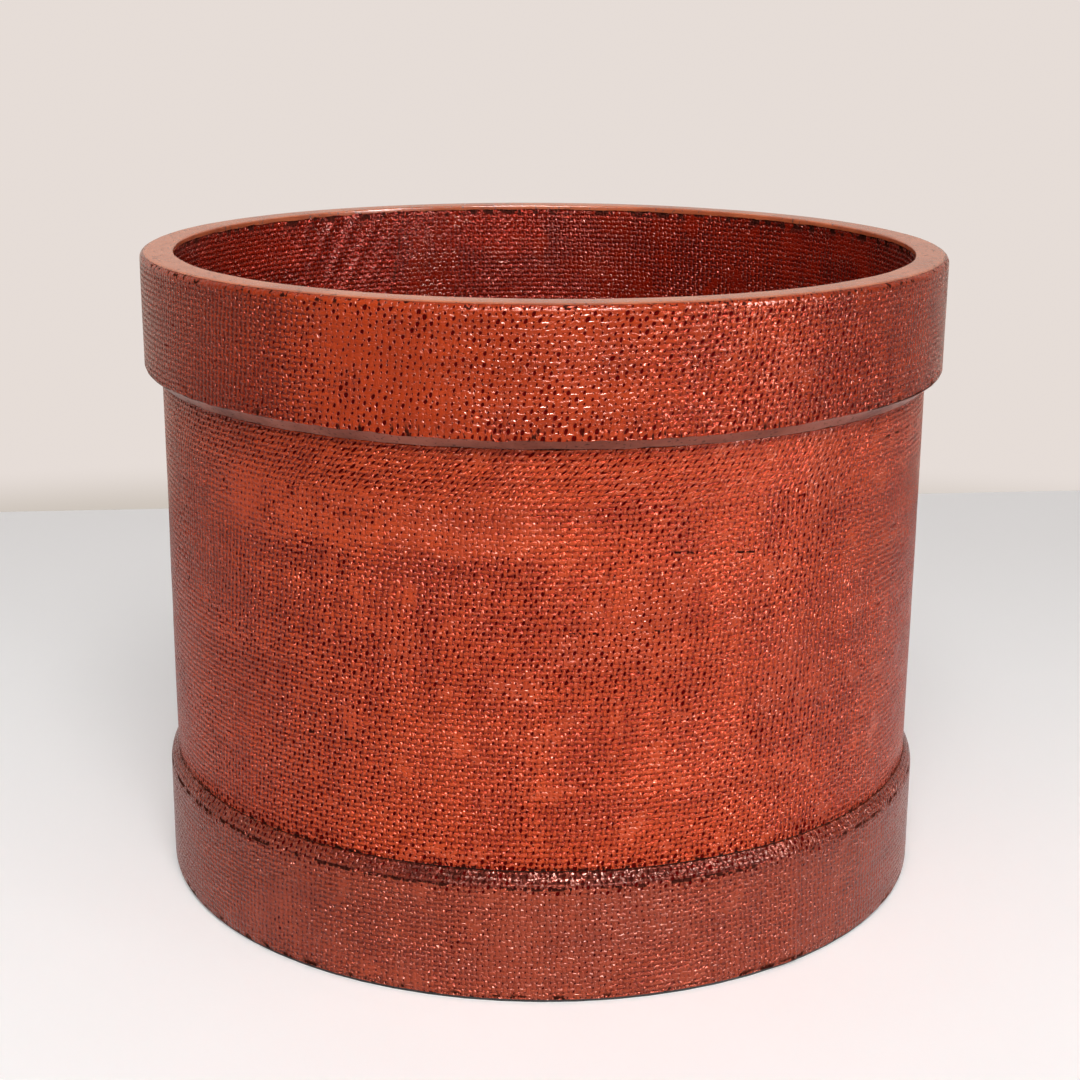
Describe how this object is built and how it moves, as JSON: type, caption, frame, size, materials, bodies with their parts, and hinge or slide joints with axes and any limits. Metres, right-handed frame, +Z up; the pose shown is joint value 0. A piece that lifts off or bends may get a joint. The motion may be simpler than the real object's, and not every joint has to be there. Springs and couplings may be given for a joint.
{
  "type": "lacquered bucket",
  "caption": "Round open bucket of bent wood with a raised rim band and foot band, covered all over in coarse cloth under vermilion lacquer.",
  "frame": {"origin": "centre of the foot's resting plane, on the bucket's axis", "axes": "+Z up along the axis; -Y towards the picture's camera; +X to its right"},
  "size_m": [0.24, 0.24, 0.1905],
  "materials": {
    "board": "bent cypress board, black lacquer where it is bare",
    "smooth_vermilion": "wood under smooth vermilion lacquer",
    "black_lacquer_wood": "wood under black lacquer",
    "bark": "shaved cherry bark",
    "bamboo": "split bamboo",
    "cloth_vermilion": "coarse hemp cloth under vermilion lacquer over black, satin gloss",
    "cloth_vermilion_inside": "coarse hemp cloth under darker vermilion lacquer, glossy",
    "cloth_black": "coarse hemp cloth under black lacquer",
    "edging_vermilion": "smooth vermilion lacquer over putty",
    "putty_vermilion": "smooth dark vermilion lacquer over putty",
    "putty_black": "smooth black lacquer over putty"
  },
  "bodies": {
    "root": {"wall_board": "board", "bottom_board": "board", "rim_hoop": "smooth_vermilion", "foot_hoop": "black_lacquer_wood", "wall_lacing": "bark", "rim_hoop_lacing": "bark", "foot_hoop_lacing": "bark", "bottom_peg_1": "bamboo", "bottom_peg_2": "bamboo", "bottom_peg_3": "bamboo", "bottom_peg_4": "bamboo", "bottom_peg_5": "bamboo", "bottom_peg_6": "bamboo", "bottom_peg_7": "bamboo", "bottom_peg_8": "bamboo", "outside_wall_cloth": "cloth_vermilion", "rim_hoop_cloth": "cloth_vermilion", "foot_hoop_cloth": "cloth_vermilion", "inside_wall_cloth": "cloth_vermilion_inside", "floor_cloth": "cloth_vermilion_inside", "underside_cloth": "cloth_black", "rim_edging": "edging_vermilion", "floor_corner_putty": "putty_vermilion", "underside_corner_putty": "putty_black"}
  },
  "joints": []
}
